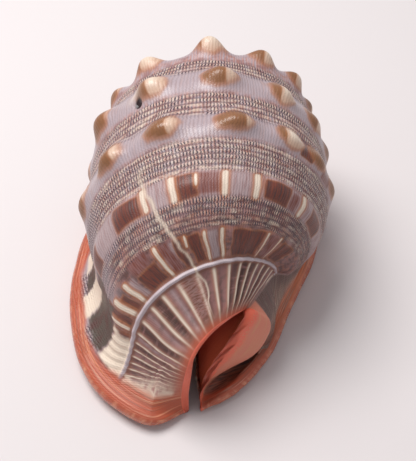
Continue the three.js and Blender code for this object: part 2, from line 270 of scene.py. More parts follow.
PIT_DEPTH, SCAR_DEPTH, UNEVENNESS = 2.0, 0.35, 0.35
SMALL_KNOB_TURN, SMALL_KNOB_HEIGHT = 0.5, 1.6
SHIELD_CALM, WAVES, OVERTONE = 0.3, 3, 1.7
PIT_TURN, PIT_STATION, CHALK_TURN, CHALK_STATION = 0.715, 4.05, 0.74, 3.9
SUTURE_DEPTH, WHORL_GROWTH = 0.9, 0.565
SCAR_STATIONS = [3, 4, 5, 6, 6.6, 7, 7.4, 8, 8.6, 9.2, 10]
SCAR_TURNS = [0.8, 0.74, 0.72, 0.7, 0.62, 0.55, 0.5, 0.47, 0.36, 0.42, 0.4]

station = np.repeat(row, outside.shape[1], 1)
steps = np.linalg.norm(np.roll(outside, -1, 1) - outside, axis=-1)
arc = np.concatenate([0 * row, np.cumsum(steps[:, :-1], 1)], 1)
from_lip = arc[:, LIP_TIP:LIP_TIP + 1] - arc
from_shield = arc - arc[:, SHIELD_TIP:SHIELD_TIP + 1]
column = np.repeat(np.arange(outside.shape[1])[None, :], ROWS, 0)
on_back, on_flare = column < BACK, (column >= BACK) & (column < LIP_TIP)
on_shield = column >= SHIELD_TIP
dorsal = (column < LIP_TIP) * 1.0
radius = np.linalg.norm(whorl(row, left_end)[..., ::2] - [AXIS_X, AXIS_Z], axis=-1)
girth = np.maximum(radius, LEAST_GIRTH)
past_back, before_back = arc - arc[:, BACK:BACK + 1], arc[:, -1:] + steps[:, -1:] - arc
turn = np.where(on_back, mix(right_end, left_end, column / BACK), left_end + past_back / girth)
turn = np.where(on_shield, right_end - before_back / girth, turn)


def wobble(a, b, seed, octaves=4):
    """Soft unevenness of about one: a sum of sine waves at seeded random directions and phases."""
    random = np.random.default_rng(seed)
    total = 0
    for octave in range(octaves):
        for _ in range(WAVES):
            heading, phase = random.uniform(0, 2 * math.pi, 2)
            wave = OVERTONE ** octave
            total = total + np.sin(wave * (a * math.cos(heading) + b * math.sin(heading)) + phase) / wave
    return total / WAVES


def bump(offset, width):
    """A bell curve: e to minus the square of offset over width."""
    return np.exp(-(offset / width) ** 2)


def inside_span(low, high, value, ease):
    """One between low and high, with a soft edge at each."""
    return smooth(low - ease, low + ease, value) * (1 - smooth(high - ease, high + ease, value))


# A knob is a rounded hump, and its coloured cap leans to the side where it is brown.
knob = 0 * turn
knob_lift = 0 * turn
cap_tone = 0 * turn
for place, knobs in KNOB_ROWS:
    length = np.where(station < place, KNOB_BEHIND, KNOB_AHEAD)
    down, cap_down = (station - place) / length, (station - place + 0.02) / CAP_LENGTH
    for at, height, pale in knobs:
        across = (turn - at) / KNOB_WIDTH
        knob_lift += height * np.exp(-(across ** 2 + down ** 2) ** KNOB_SQUARE)
        cap_across = (across - 0.25 + 0.5 * pale) / CAP_WIDTH
        field = np.exp(-(cap_across ** 2 + cap_down ** 2) ** 1.5)
        knob = np.maximum(knob, field * (height > CAP_LEAST))
        edge = 0.9 - 1.8 * pale
        cap_tone += field * smooth(edge - 0.2, edge + 0.2, -across)
bands = sum(height * bump(station - place, width) for place, width, height in BANDS)
cord = 0 * turn
corded = 0 * turn
rippled = station + 0.012 * wobble(turn * 5, station * 2, 3)
for low, high, count in CORDS:
    span = inside_span(low, high, rippled, 0.03)
    cord = cord + span * (count * (rippled - low) / (high - low))
    corded = np.maximum(corded, span)
beads = 0.5 - 0.5 * np.cos(2 * math.pi * cord)
keel = bump(station - KEEL - KEEL_AHEAD, KEEL_WIDTH) * dorsal * smooth(9, 14, from_lip)

# The ribs of the fan are counted from right to left, and fade towards the lip.
swept = turn - RIB_SWEEP * smooth(0.7, 1.9, turn) * smooth(8.0, 9.3, station)
rib = np.interp(swept, RIB_TURNS, np.arange(len(RIB_TURNS)))
ribbed = inside_span(7.1, 9.55, station, 0.12) * (1 - 0.5 * bump(station - 7.98, 0.1))
ribbed *= dorsal * smooth(8, 12, from_lip) * (1 - smooth(2.25, 2.6, turn) * smooth(8.4, 8.8, station))
lined = dorsal * smooth(0.5, 2, from_lip) * (1 - smooth(11, 15, from_lip))

# Damage: a healed scar that runs across the rows, and a pit with a chalky edge beside a knob.
scar_turn = np.interp(row, SCAR_STATIONS, SCAR_TURNS)
scar_side = turn - scar_turn - 0.02 * wobble(station * 9, 0 * turn, 9)
scarred = inside_span(4.2, 9.3, station, 0.4)
pit = bump(turn - PIT_TURN, 0.04) * bump(station - PIT_STATION, 0.07)
chalk = bump(turn - CHALK_TURN, 0.07) * bump(station - CHALK_STATION, 0.1) * (1 - pit)

# Teeth on the lip and finer folds on the shield, counted by the length of the slit.
slit_steps = np.linalg.norm(np.diff(guide(SLIT, row[:, 0]), axis=0), axis=1)
along_slit = np.concatenate([[0], np.cumsum(slit_steps)])
tooth = np.repeat(along_slit[:, None] / TOOTH_MM, outside.shape[1], 1)
LIP_EDGE_START, SHIELD_EDGE_END = BACK + FLARE + RIM + FACE, ROOF + 1 + WALL + EDGE
lip_teeth = smooth(LIP_EDGE_START - 6, LIP_EDGE_START - 1, column) * (column < ROOF - 2)
shield_teeth = (1 - smooth(SHIELD_EDGE_END + 2, SHIELD_EDGE_END + 8, column)) * (column > ROOF + 2)
toothed = (lip_teeth + shield_teeth) * inside_span(3.1, 9.2, station, 0.3)
folds = bump(np.mod(tooth * FOLDS_PER_TOOTH, 1) - 0.5, 0.25)
teeth = np.where(column < ROOF, bump(np.mod(tooth, 1) - 0.5, 0.24), folds)

# On the spire the whorls are counted along a logarithmic spiral, with a suture between each two.
coil = np.log(np.maximum(guide(RADIUS, row), 0.5) / RADIUS[2]) / WHORL_GROWTH - turn / (2 * math.pi)
on_spire = 1 - smooth(2.2, 2.9, station)
suture = bump(np.mod(coil + 0.5, 1) - 0.5, 0.07)
small_knobs = bump(np.mod(coil + 0.5, 1) - 0.85, 0.12)
small_knobs *= bump(np.mod(turn / SMALL_KNOB_TURN, 1) - 0.5, 0.26)

relief = (
    knob_lift + on_back * (bands + CORD_HEIGHT * (beads - 0.5) * corded)
    + KEEL_HEIGHT * keel + RIB_HEIGHT * np.cos(2 * math.pi * rib) * ribbed
    - SCAR_DEPTH * smooth(-0.02, 0.02, scar_side) * (1 - smooth(0.05, 0.35, scar_side)) * scarred
    - PIT_DEPTH * pit + TOOTH_HEIGHT * (teeth - 0.6) * toothed
    + on_spire * (SMALL_KNOB_HEIGHT * small_knobs - SUTURE_DEPTH * suture)
    + UNEVENNESS * wobble(turn * 4, station * 2.5, 7) * smooth(0.2, 1.5, station)
)

# It fades where the body meets the shield and at the mouth, and is calmer on the leaf.
relief *= np.where(on_back, smooth(0, 0.06, column / BACK), 1)
relief *= np.where(on_shield & (station > LEAF_FROM), SHIELD_CALM, 1)
relief *= 1 - smooth(9.5, MOUTH, station)
normal = unit(np.cross(np.roll(outside, -1, 1) - np.roll(outside, 1, 1), np.gradient(outside, axis=0)))
surface = outside + normal * relief[..., None]
surface[..., 2] = np.where(outside[..., 2] <= 0, 0, np.maximum(surface[..., 2], 0))

# The hollow the animal lived in: one open turn between the outer wall and the columella, which
# narrows forward into the canal. Only its mouth and what shows through the slit can be seen.
WALL_MM, LIP_WALL_MM = 4.2, 1.5
HOLLOW_START, HOLLOW_BACK, HOLLOW_COLUMELLA = 3.3, 44, 26

# The columella's points, each where the hollow starts and at its mouth.
COLUMELLA = [
    ((-4.2, 27, 14), (-2.4, -65, 5)), ((-9, 27, 36), (-1.4, -60.8, 10)), ((6, 30, 56), (1.9, -57.7, 18)),
    ((26, 28, 45), (8.9, -53.4, 29)), ((32, 26, 24), (16.2, -46.6, 39)),
]
CHIP_DEPTH, CHIP_STATION, CHIP_FADE = 1.5, 9.75, 8
EDGE_LEAD, EDGE_LEAD_MOST, CAP_BACK = 0.4, 0.7, 4
CENTRE = (1.2, -0.2, 0)

first = int(np.searchsorted(row[:, 0], HOLLOW_START))
deep = row[first:]
narrow = smooth(5, MOUTH, deep)
wall = mix(WALL_MM, LIP_WALL_MM, narrow)
start, end = guide(RIGHT_END, deep) + 0.2 * (1 - narrow), guide(LEFT_END, deep) + 0.1 * (1 - narrow)
vault = whorl(deep, mix(end, start, np.arange(HOLLOW_BACK) / (HOLLOW_BACK - 1)), wall)
post = np.array(COLUMELLA, float)[::-1]
post = mix(post[:, 0], post[:, 1], smooth(3.5, MOUTH, deep)[..., None])
post = guide(np.swapaxes(post, 0, 1), np.linspace(0, len(COLUMELLA) - 1, HOLLOW_COLUMELLA)[1:])
hollow = np.concatenate([vault, np.swapaxes(post, 0, 1)], 1)


def chipped(points, ahead, stations, where):
    """Pulls a thin edge back by a seeded ragged amount that fades away from the mouth."""
    ragged = np.clip(0.5 + 0.9 * wobble(points[..., 2] * 0.9, points[..., 1] * 0.5, 21, 5), 0, 1)
    fade = smooth(CHIP_STATION, MOUTH, stations) * where
    return points - ahead * (CHIP_DEPTH * ragged * fade)[..., None]


ahead_out = unit(np.gradient(surface, axis=0))
leaf_side = smooth(SHIELD_TIP + RIM, SHIELD_TIP + RIM + CHIP_FADE, column)
leaf_side *= 1 - smooth(0.985, 1, column / column.max())
surface = chipped(surface, ahead_out, station, leaf_side)
hollow_station = np.repeat(deep, hollow.shape[1], 1)
hollow_column = np.arange(hollow.shape[1])[None, :] + 0 * deep
ahead_in = unit(np.gradient(hollow, axis=0))
hollow = chipped(hollow, ahead_in, hollow_station, smooth(HOLLOW_BACK, HOLLOW_BACK + 4, hollow_column))


# One closed skin: where the hollow is, its columns take the place of the roof of the slit.
COLUMNS = surface.shape[1]
index = np.arange(ROWS * COLUMNS).reshape(ROWS, COLUMNS)
index[0] = 0
inner = index.max() + 1 + np.arange(hollow.shape[0] * hollow.shape[1]).reshape(hollow.shape[:2])
ring = np.concatenate([index[first:, :ROOF], inner, index[first:, ROOF + 1:]], 1)


def skin(grid):
    """Two triangles for each cell of a ring of columns."""
    right = np.roll(grid, -1, 1)
    a, b, c, d = grid[:-1], right[:-1], right[1:], grid[1:]
    return np.concatenate([np.stack([a, c, b], -1).reshape(-1, 3), np.stack([a, d, c], -1).reshape(-1, 3)])


def lace(one, one_way, other, other_way):
    """Triangles between two lines of points, taken in the order of their way along the gap."""
    order = np.argsort(np.concatenate([one_way[1:], other_way[1:]]), kind="stable")
    is_one = order < len(one) - 1
    i, j = np.cumsum(is_one), np.cumsum(~is_one)
    i0, j0 = i - is_one, j - ~is_one
    return np.stack([one[i0], other[j0], np.where(is_one, one[i], other[j])], -1)


def way(points, marks):
    """Distance along a line, scaled to run from one whole number to the next between marks."""
    far = np.concatenate([[0], np.cumsum(np.linalg.norm(np.diff(points, axis=0), axis=1))])
    return np.interp(far, far[marks], np.arange(len(marks)))


# The thin edge of the canal and the lip at the mouth, between the outside and the hollow.
outer_line = np.concatenate([np.arange(LIP_TIP, -1, -1), np.arange(COLUMNS - 1, SHIELD_TIP - 1, -1)])
outer_index = index[-1, outer_line]
inner_index = np.concatenate([
    index[-1, LIP_TIP:ROOF], inner[-1], index[-1, ROOF + 1:SHIELD_TIP + 1],
])
outer_points = surface[-1, outer_line]
inner_points = np.concatenate([surface[-1, LIP_TIP:ROOF], hollow[-1], surface[-1, ROOF + 1:SHIELD_TIP + 1]])
before = ROOF - LIP_TIP
outer_way = way(outer_points, [0, LIP_TIP - BACK, LIP_TIP, len(outer_line) - 1])
inner_way = way(inner_points, [0, before, before + HOLLOW_BACK - 1, len(inner_points) - 1])
facing = np.stack([np.interp(outer_way, inner_way, inner_points[:, k]) for k in range(3)], -1)[1:-1]
gap = np.linalg.norm(facing - outer_points[1:-1], axis=1, keepdims=True)
lead = unit(ahead_out[-1, outer_line[1:-1]])
edge_points = 0.5 * (outer_points[1:-1] + facing) + lead * np.minimum(EDGE_LEAD * gap, EDGE_LEAD_MOST)
edge_index = inner.max() + 1 + np.arange(len(edge_points))
crest = np.concatenate([outer_index[:1], edge_index, outer_index[-1:]])
cap_centre = edge_index[-1] + 1
beside_roof = index[first, ROOF - 1:ROOF + 2]
cap_ring = np.concatenate([beside_roof[:1], inner[0], beside_roof[2:], beside_roof[1:2]])
faces = np.concatenate([
    skin(index[:first + 1]), skin(ring),
    lace(crest, outer_way, outer_index, outer_way),
    lace(inner_index, inner_way, crest, outer_way),
    np.stack([cap_ring, np.roll(cap_ring, -1), np.full(len(cap_ring), cap_centre)], -1),
])
has_area = (faces[:, 0] != faces[:, 1]) & (faces[:, 1] != faces[:, 2]) & (faces[:, 0] != faces[:, 2])
faces = faces[has_area]
back_of_hollow = hollow[0].mean(0, keepdims=True) + [0, CAP_BACK, 0]
points = np.concatenate([surface.reshape(-1, 3), hollow.reshape(-1, 3), edge_points, back_of_hollow])
used, faces = np.unique(faces, return_inverse=True)
faces = faces.reshape(-1, 3)
points = points[used]
corner = points[faces]
if np.einsum("ij,ij->", corner[:, 0], np.cross(corner[:, 1], corner[:, 2])) < 0:
    faces = faces[:, ::-1]

# Where each colour lies. The mantle laid the colours down as it built, so every mark is a stretch of
# rows and turns: chestnut blocks on the fourth row and the brown band, dark fields on the lip.
# A block is its first and last row and its first and last turn, or on the lip its millimetres in.
CHESTNUT_BLOCKS = [
    (6.04, 6.46, 0.25, 0.41), (6.05, 6.45, -0.65, -0.35), (6.05, 6.46, 0.76, 1.06), (6.05, 6.5, 1.38, 1.56),
    (6.05, 6.45, -1.3, -0.98), (7.12, 7.9, -0.49, -0.08), (7.12, 7.9, 0.27, 0.41), (7.1, 7.9, 0.46, 0.56),
    (7.35, 7.9, 0.82, 1.09), (7.15, 7.9, -1.08, -0.82), (7.3, 7.92, 1.33, 1.42), (7.0, 7.9, 1.54, 1.64),
    (4.62, 5.08, -0.84, -0.68), (6.9, 7.9, 1.76, 1.86),
]
BROWN_BLOCKS = [
    (6.05, 6.46, 0.04, 0.24), (6.1, 6.5, -0.76, -0.67), (7.12, 7.9, -0.72, -0.6), (7.1, 7.9, 0.6, 0.73),
    (4.66, 5.1, -1.2, -1.0), (7.0, 7.35, 0.85, 1.1),
]
LILAC_BLOCKS = [
    (6.05, 6.46, -0.23, -0.04), (6.05, 6.5, 0.5, 0.7), (6.0, 6.6, 1.09, 1.34), (7.12, 7.9, 0.08, 0.2),
    (7.12, 7.75, 0.57, 0.72), (7.3, 7.95, 1.12, 1.2),
]
LIP_DARK = [(6.3, 7.15, 11, 40), (5.25, 5.75, 11, 30)]
LIP_CREAM = [(5.78, 6.3, 8, 30), (7.2, 8.0, 11, 30), (4.7, 5.2, 9, 30), (8.1, 9.7, 9.5, 14)]
# A cream stripe is its first and last row, its turn and half its width.
CREAM_STRIPES = [
    (6.0, 6.5, 0.0, 0.034), (6.0, 6.5, -0.28, 0.036), (6.0, 6.5, 0.45, 0.036), (6.0, 6.5, -0.83, 0.032),
    (6.0, 6.45, 0.72, 0.03), (6.05, 6.3, 0.24, 0.018), (7.08, 7.95, 0.03, 0.026), (7.1, 7.95, 0.225, 0.022),
    (7.05, 7.95, 0.76, 0.026), (7.08, 7.95, -0.545, 0.024), (7.08, 7.95, -0.75, 0.024),
    (7.2, 7.97, 1.25, 0.034), (7.15, 7.97, 1.47, 0.038), (7.1, 7.4, 0.435, 0.018), (7.1, 7.9, 1.68, 0.03),
]
SHOULDER_SATIN, SATIN_ROWS = (2.75, 3.12), [(3.63, 4.13), (4.62, 5.12)]
NET_ROWS = [(3.3, 3.52), (4.15, 4.36), (5.32, 5.85), (6.46, 6.75)]
# How dark each field of the fan is, from right to left between its ribs.
FAN_TONES = [
    0.6, 0.5, 0.8, 0.4, 0.8, 0.9, 0.75, 0.45, 0.6, 0.95, 0.3, 1, 0.35, 0.95, 0.3, 0.9, 0.35, 0.8, 0.4,
    0.75, 0.35, 0.6, 0.3, 0.5, 0.3,
]
LIP_ORANGE_MM, LIP_ORANGE_AT_FAN_MM = 8.5, 12
RIM_BROAD_MM, RIM_NARROW_MM = 17, 5.5
LIP_SIDE_MM, BLOCK_ROW_EASE = 60, 0.04
MOUTH_EDGE, UNDER_FADE_MM = 9.96, (0.4, 3.2)


def block(low, high, start, end, place, seed):
    """A field of rows from low to high and of places from start to end, with uneven edges."""
    shift = 0.035 * wobble(station * 5, place * 7, seed)
    in_millimetres = end > 5
    unevenness, ease = (1.2, 0.7) if in_millimetres else (0.016, 0.02)
    slide = unevenness * wobble(station * 7, place * 9 / max(1, abs(end)), seed + 1)
    rows = inside_span(low, high, station + shift, BLOCK_ROW_EASE)
    return rows * inside_span(start, end, place + slide, ease)


def blocks(spans, place, seed):
    """All the blocks of one colour, each with edges of its own."""
    return np.max([block(*span, place, seed + number) for number, span in enumerate(spans)], axis=0)


def stripe(low, high, at, half, seed):
    """A narrow stripe across the rows from low to high, a bell curve round its turn."""
    sway = 0.008 * wobble(station * 6, 0 * turn, seed)
    return inside_span(low, high, station, 0.05) * bump(turn - at + sway, half)


def rows_between(spans, ease):
    """Whole rows from the first to the last of each span."""
    return np.max([inside_span(low, high, station, ease) for low, high in spans], axis=0)


above_lip = np.where(on_flare | (on_back & (from_lip < LIP_SIDE_MM)), 1.0, 0.0)
stripes = [stripe(*span, 81 + number) for number, span in enumerate(CREAM_STRIPES)]
band_ripple = 0.02 * wobble(turn * 9, station, 33)
off_lip = smooth(8, 14, from_lip)
keel_sides = bump(station - KEEL - 0.11, 0.05) + bump(station - KEEL + 0.09, 0.05)

lip_reach = mix(LIP_ORANGE_MM, LIP_ORANGE_AT_FAN_MM, smooth(7.2, 8.2, station))
ragged_lip = from_lip + 1.3 * wobble(station * 5, from_lip * 0.3, 121)
ragged_apron = from_lip + 1.5 * wobble(turn * 6, station, 171)
rim_reach = mix(RIM_BROAD_MM, RIM_NARROW_MM, smooth(6.5, 8.8, station))
ragged_rim = np.abs(from_shield) + 1.2 * wobble(station * 4, 0 * turn, 131)
shield_rim = 1 - smooth(rim_reach * 0.8, rim_reach * 1.3, ragged_rim)

underneath = (column >= LIP_TIP - 2) & (column < SHIELD_TIP)
climb = (column - COLUMNS + SHIELD_BACK) / SHIELD_BACK
leaf = on_shield * smooth(9.4, 9.52, station - 0.55 * (1 - smooth(0.12, 0.3, climb)))
trough = on_shield * smooth(8.2, 8.7, station) * (1 - leaf) * (1 - smooth(0.55, 0.9, climb))
at_mouth = smooth(MOUTH_EDGE, MOUTH, station)
behind_scar = smooth(0, 0.03, scar_side) * (1 - smooth(0.3, 0.42, scar_side))

marks = {
    "station": station,
    "turn": turn,
    "from_edge": np.where(column > ROOF, np.abs(from_shield), from_lip),
    "cord": cord,
    "corded": corded * dorsal,
    "net": rows_between(NET_ROWS, 0.08),
    "riblet": turn / RIBLET_TURN + 0.6 * wobble(turn * 6, station * 2, 141),
    "cap": smooth(0.16, 0.58, knob + 0.16 * wobble(turn * 22, station * 9, 31)),
    "cap_tone": cap_tone,
    "satin": np.maximum(rows_between(SATIN_ROWS, 0.05), inside_span(*SHOULDER_SATIN, station, 0.06)),
    "chestnut": blocks(CHESTNUT_BLOCKS, turn, 41) * dorsal,
    "brown": blocks(BROWN_BLOCKS, turn, 51) * dorsal,
    "lilac": blocks(LILAC_BLOCKS, turn, 61) * dorsal,
    "cream": np.max(stripes, axis=0) * dorsal,
    "band_row": inside_span(6.03, 6.47, station + band_ripple, 0.03) * dorsal,
    "brown_band": inside_span(6.5, 7.95, station, 0.05) * dorsal,
    "worn_left": smooth(1.2, 1.45, turn) * dorsal * (1 - smooth(6.9, 7.6, station)),
    "fan": smooth(8.08, 8.13, station) * dorsal,
    "rib": rib,
    "tone": np.interp(rib, np.arange(len(FAN_TONES)) + 0.5, FAN_TONES),
    "keel_mark": bump(station - KEEL - KEEL_AHEAD, 0.066) * dorsal * off_lip,
    "keel_side": keel_sides * dorsal * off_lip,
    "scar_line": bump(scar_side, 0.017) * inside_span(5.7, 9.3, station, 0.5) * dorsal,
    "behind_scar": behind_scar * inside_span(6.9, 9.4, station, 0.15) * dorsal,
    "pit": pit,
    "chalk": chalk,
    "coil": coil,
    "spire": on_spire * dorsal,
    "lined": lined,
    "lip_dark": blocks(LIP_DARK, from_lip, 101) * above_lip,
    "lip_cream": blocks(LIP_CREAM, from_lip, 111) * above_lip,
    "lip_orange": (1 - smooth(lip_reach * 0.85, lip_reach * 1.2, ragged_lip)) * above_lip,
    "apron": smooth(8.2, 8.7, station) * (1 - smooth(14, 24, ragged_apron)) * on_flare,
    "canal_blush": smooth(9.2, 9.97, station) * dorsal,
    "under": np.where(on_shield, 1 - smooth(*UNDER_FADE_MM, from_shield), underneath),
    "tooth_gap": toothed * (1 - smooth(0.25, 0.75, teeth)),
    "tooth_top": toothed * smooth(0.45, 0.85, teeth),
    "shield_side": (column >= SHIELD_TIP - 1) * 1.0,
    "shield_rim": np.where(column > ROOF, shield_rim, 0),
    "trough": trough,
    # Painted shade: the shield darkens towards the crevice beside the body, away from the leaf.
    "crevice_shade": on_shield * smooth(0.72, 0.95, climb) * (1 - leaf),
    "leaf": leaf,
    "rim_edge": at_mouth + smooth(9.86, 9.93, station) * leaf * (1 - at_mouth),
    "canal": 0 * station,
    "hollow": 0 * station,
}
inside = {
    "station": hollow_station,
    "under": 0 * hollow_station + 1,
    "hollow": 0 * hollow_station + 1,
    # How far the hollow runs towards the mouth; it sets the painted shade deep in and the painted glow near
    # the mouth.
    "canal": smooth(4.5, MOUTH, hollow_station),
}
at_edge = {
    "station": np.full(len(edge_points), MOUTH),
    "canal": np.ones(len(edge_points)),
    "rim_edge": np.ones(len(edge_points)),
}

# The shell itself, one closed skin of shell material. It is set down with the middle of its length
# and width at the origin, and carries every mark as a number at each of its points.
mesh = bpy.data.meshes.new("shell_body")
mesh.from_pydata(((points + CENTRE) / 1000).tolist(), [], faces.tolist())
mesh.polygons.foreach_set("use_smooth", np.ones(len(faces), bool))
for name, values in marks.items():
    in_hollow = inside.get(name, 0 * hollow_station).ravel()
    parts = [values.ravel(), in_hollow, at_edge.get(name, 0 * gap[:, 0]), [0.0]]
    attribute = mesh.attributes.new(name, "FLOAT", "POINT")
    attribute.data.foreach_set("value", np.concatenate(parts)[used].astype(np.float32))
shell = bpy.data.objects.new("shell_body", mesh)
bpy.context.scene.collection.objects.link(shell)
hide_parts("shell")
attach(shell, "root")

# The skin's colours and gloss: thin coloured layers under a clear porcelain surface. Each layer is
# painted over the one before through its own mark, and the fine lattice shows through most of them.
def linear(red, green, blue):
    """A colour as the eye reads it off a chart, 0 to 255, as the linear light the shader takes."""
    channels = np.array([red, green, blue]) / 255
    low = channels <= 0.04045
    return (*np.where(low, channels / 12.92, ((channels + 0.055) / 1.055) ** 2.4).tolist(), 1)


IVORY = linear(228, 208, 188)
CREAM = linear(222, 200, 180)
TOOTH = linear(240, 224, 204)
CHALK_WHITE = linear(221, 204, 195)
SATIN = linear(176, 158, 162)
LILAC = linear(174, 150, 150)
MAUVE = linear(142, 98, 94)
ROSE = linear(184, 140, 132)
RUST = linear(164, 102, 80)
CHESTNUT = linear(120, 58, 40)
UMBER = linear(84, 50, 44)
DASH = linear(54, 38, 54)
INK = linear(40, 20, 22)
OCHRE = linear(138, 92, 58)
CAP_EDGE = linear(182, 112, 66)
KEEL_PALE = linear(198, 182, 186)
KEEL_BROWN = linear(136, 86, 66)
OLIVE = linear(82, 70, 60)
MOSS = linear(92, 86, 70)
STREAK_BROWN = linear(138, 82, 62)
SHIELD_BROWN = linear(140, 91, 80)
TAN = linear(204, 118, 78)
ORANGE = linear(180, 82, 52)
PALE_ORANGE = linear(212, 138, 104)
SALMON = linear(214, 126, 102)
# The hollow's red, made brighter than the shell's own as painted light on its shaded wall; the same red
# colours the rim of the mouth.
DEEP_RED = linear(232, 104, 78)
# Painted glow: a bright red near the mouth of the hollow, standing in for light through its thin wall.
PAINTED_GLOW = linear(255, 128, 92)
# Where a mix node keeps its factor, its two colours and its result.
MIX_FACTOR, MIX_UNDER, MIX_OVER, MIX_RESULT = 0, 6, 7, 2
BUMP_STRENGTH, BUMP_DISTANCE = 0.55, 0.0004
COAT_ROUGHNESS, SPECULAR = 0.15, 0.5

glaze = bpy.data.materials.new("shell_glaze")
glaze.use_nodes = True
tree = glaze.node_tree
porcelain = tree.nodes["Principled BSDF"]


def place(value, socket):
    """Wires a node's output to a socket, or writes a plain number or colour on it."""
    if isinstance(value, bpy.types.NodeSocket):
        tree.links.new(value, socket)
    else:
        socket.default_value = value


def mark(name):
    """One of the marks that the mesh carries, as a number from point to point."""
    node = tree.nodes.new("ShaderNodeAttribute")
    node.attribute_name = name
    return node.outputs["Fac"]


def calc(operation, *values, clamp=False):
    """A sum done in the material, on outputs or plain numbers."""
    node = tree.nodes.new("ShaderNodeMath")
    node.operation = operation
    node.use_clamp = clamp
    for value, socket in zip(values, node.inputs):
        place(value, socket)
    return node.outputs[0]


def times(product, *values):
    """The product of all the values."""
    for value in values:
        product = calc("MULTIPLY", product, value)
    return product


def rest_of(value):
    """What is left up to one."""
    return calc("SUBTRACT", 1.0, value)


def border(name):
    """The soft edge of a mark: the mark times the rest of it, a quarter at most."""
    return calc("MULTIPLY", mark(name), rest_of(mark(name)), clamp=True)


def over(under_colour, colour, amount):
    """One colour laid over another by an amount from nought to one."""
    node = tree.nodes.new("ShaderNodeMix")
    node.data_type = "RGBA"
    place(amount, node.inputs[MIX_FACTOR])
    place(under_colour, node.inputs[MIX_UNDER])
    place(colour, node.inputs[MIX_OVER])
    return node.outputs[MIX_RESULT]


def painted(ground, *layers):
    """A ground colour with layers over it in order, each a colour and how far it covers."""
    for colour, amount in layers:
        ground = over(ground, colour, amount)
    return ground


def ease(value, low, high):
    """Nought at low, one at high and an S-shaped ease between."""
    node = tree.nodes.new("ShaderNodeMapRange")
    node.interpolation_type = "SMOOTHSTEP"
    place(value, node.inputs["Value"])
    node.inputs["From Min"].default_value = low
    node.inputs["From Max"].default_value = high
    return node.outputs["Result"]


def seat(across, along):
    """A place in a flat pattern, from its two numbers."""
    node = tree.nodes.new("ShaderNodeCombineXYZ")
    place(across, node.inputs["X"])
    place(along, node.inputs["Y"])
    return node.outputs["Vector"]


def grain(name, across, along, detail):
    """Noise over a named mark and the rows, with so many changes for each unit of the two."""
    node = tree.nodes.new("ShaderNodeTexNoise")
    node.inputs["Scale"].default_value = 1.0
    node.inputs["Detail"].default_value = detail
    place(seat(times(mark(name), across), times(mark("station"), along)), node.inputs["Vector"])
    return node.outputs["Fac"]


def mottle(across, along, detail=3.0):
    """Noise stretched along the rows or the turns, which follows the growth of the shell."""
    return grain("turn", across, along, detail)


def edge_grain(across, along, detail=3.0):
    """Noise in long lines that run parallel to the edge of the lip or the shield."""
    return grain("from_edge", across, along, detail)


def ridges(phase, sharp=1.0):
    """One on the crest and nought in the groove of evenly counted ridges: a raised cosine."""
    wave = calc("COSINE", times(phase, 2 * math.pi))
    return calc("POWER", calc("MULTIPLY_ADD", wave, 0.5, 0.5), sharp)


# Fine dark dashes in the grooves between riblets, broken on the crest of each cord.
broad, streaky, fine_grain = mottle(7, 5), mottle(60, 2.5, 4), mottle(90, 60)
uneven = calc("MULTIPLY_ADD", calc("SUBTRACT", mottle(14, 26), 0.5), 1.1, mark("riblet"))
groove = rest_of(ridges(uneven, 0.7))
cord_groove, cord_crest = ridges(mark("cord"), 1.4), ridges(mark("cord"), 5.0)
dashes = times(ease(groove, 0.3, 0.72), rest_of(cord_crest), mark("corded"))
where_dark = calc("ADD", times(mark("net"), 0.6), ease(mottle(6, 10, 2), 0.4, 0.62), clamp=True)
cord_line = times(ease(cord_groove, 0.4, 0.95), mark("corded"), 0.45)
lattice = times(groove, 0.2, rest_of(mark("fan")), calc("MULTIPLY_ADD", mark("cap"), -0.6, 1.0))

# Single beads of a cord are rust or cream by chance, each a cell of two riblets and one cord.
bead = tree.nodes.new("ShaderNodeTexWhiteNoise")
bead.noise_dimensions = "2D"
place(seat(calc("FLOOR", times(uneven, 0.5)), calc("FLOOR", mark("cord"))), bead.inputs["Vector"])
chance = calc("MULTIPLY_ADD", bead.outputs["Value"], 0.4, mottle(7, 9, 2))
cord_top = times(rest_of(cord_groove), mark("corded"))
cord_cream = times(ease(mottle(16, 14, 2), 0.35, 0.6), calc("MULTIPLY_ADD", mark("brown_band"), -0.35, 0.6))

# The paint of each place, the body first and then the fan, the lip, the shield and the hollow.
band_paint = painted(
    MAUVE,
    (UMBER, ease(broad, 0.38, 0.6)),
    (RUST, times(ease(mottle(8, 7), 0.48, 0.64), 0.7)),
)
nodules = times(ridges(calc("ADD", mark("coil"), 0.2), 3.0), ridges(times(mark("turn"), 2.0), 2.0))
spire_paint = painted(
    SATIN,
    (ROSE, ease(mottle(26, 1.5, 4), 0.4, 0.6)),
    (RUST, ease(mottle(14, 2), 0.52, 0.7)),
    (UMBER, times(ridges(mark("coil"), 14.0), 0.8)),
    (IVORY, ease(nodules, 0.25, 0.7)),
)
cap_paint = painted(
    OCHRE,
    (IVORY, ease(mark("cap_tone"), 0.15, 0.5)),
    (CAP_EDGE, times(border("cap_tone"), 1.8)),
    (RUST, times(ease(streaky, 0.5, 0.85), 0.6)),
)
rib_crest = ridges(mark("rib"), 9.0)
rib_side = calc("SUBTRACT", ridges(mark("rib"), 3.0), rib_crest, clamp=True)
fan_paint = painted(
    LILAC,
    (MAUVE, ease(mark("tone"), 0.2, 0.5)),
    (UMBER, times(ease(mark("tone"), 0.5, 0.95), ease(mottle(3, 9), 0.28, 0.5))),
    (OLIVE, times(ease(broad, 0.45, 0.7), 0.4)),
    (CAP_EDGE, times(rib_side, 0.75)),
    (IVORY, rib_crest),
    (over(ROSE, STREAK_BROWN, ease(mottle(9, 22), 0.42, 0.64)), times(mark("behind_scar"), 0.5)),
)
